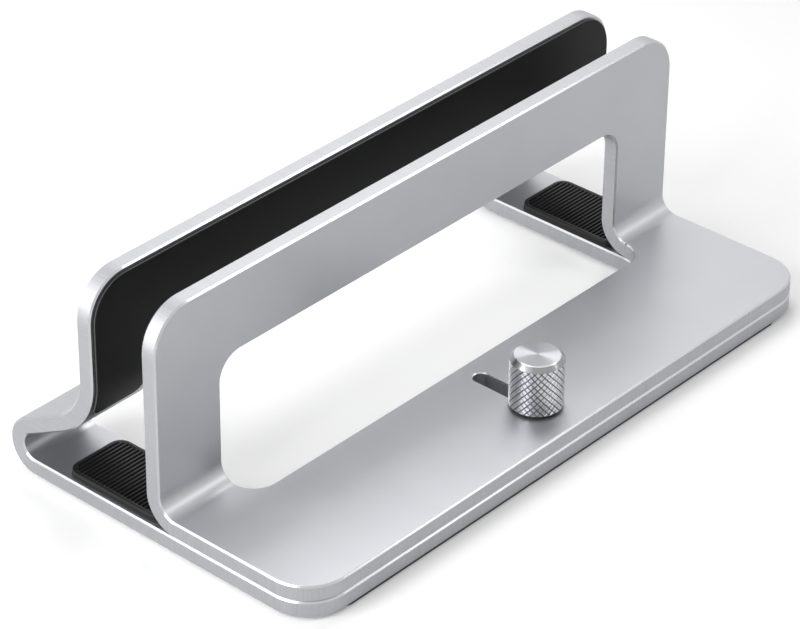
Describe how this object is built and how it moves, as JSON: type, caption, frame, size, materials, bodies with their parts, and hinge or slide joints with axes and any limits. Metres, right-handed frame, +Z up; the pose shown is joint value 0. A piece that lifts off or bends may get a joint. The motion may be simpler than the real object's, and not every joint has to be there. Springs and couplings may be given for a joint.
{
  "type": "vertical laptop stand",
  "caption": "Vertical stand that holds a closed laptop on edge between two bent aluminium plates, one fixed and one that slides and is clamped by a knurled thumb screw.",
  "frame": {"origin": "middle of the footprint, on the surface that the feet rest on", "axes": "+Z up, +Y along the slot, +X to the front, where the thumb screw is"},
  "size_m": [0.1042, 0.2, 0.0673],
  "materials": {
    "satin_aluminium": "bead-blasted satin, clear anodised, with bright chamfered edges",
    "knurled_aluminium": "diamond knurl on the side, spun rings on the top face",
    "black_silicone": "matte moulded silicone",
    "steel": "plain zinc-plated",
    "black_nylon": "matte"
  },
  "bodies": {
    "base": {"base_plate": "satin_aluminium", "rear_wall_pad": "black_silicone", "near_rest_pad": "black_silicone", "far_rest_pad": "black_silicone", "front_foot": "black_silicone", "near_rear_foot": "black_silicone", "far_rear_foot": "black_silicone", "clinch_nut": "steel", "near_guide_pin": "steel", "far_guide_pin": "steel"},
    "sliding_wall": {"sliding_plate": "satin_aluminium", "front_wall_pad": "black_silicone"},
    "washer": {"clamp_washer": "black_nylon"},
    "thumb_screw": {"thumb_knob": "knurled_aluminium", "clamp_stud": "steel"}
  },
  "joints": [
    {"name": "wall_slide", "type": "slide", "parent": "base", "child": "sliding_wall", "axis": [1, 0, 0], "range_m": [0, 0.0186]},
    {"name": "clamp_lift", "type": "slide", "parent": "base", "child": "washer", "axis": [0, 0, 1], "range_m": [0, 0.0014]},
    {"name": "knob_turn", "type": "hinge", "parent": "washer", "child": "thumb_screw", "pos_m": [0.03848, 0, 0.0175], "axis": [0, 0, 1], "range_deg": [0, 720]}
  ],
  "couplings": [
    {"joint": "clamp_lift", "follows": "knob_turn", "m_per_rad": 0.00011141}
  ]
}
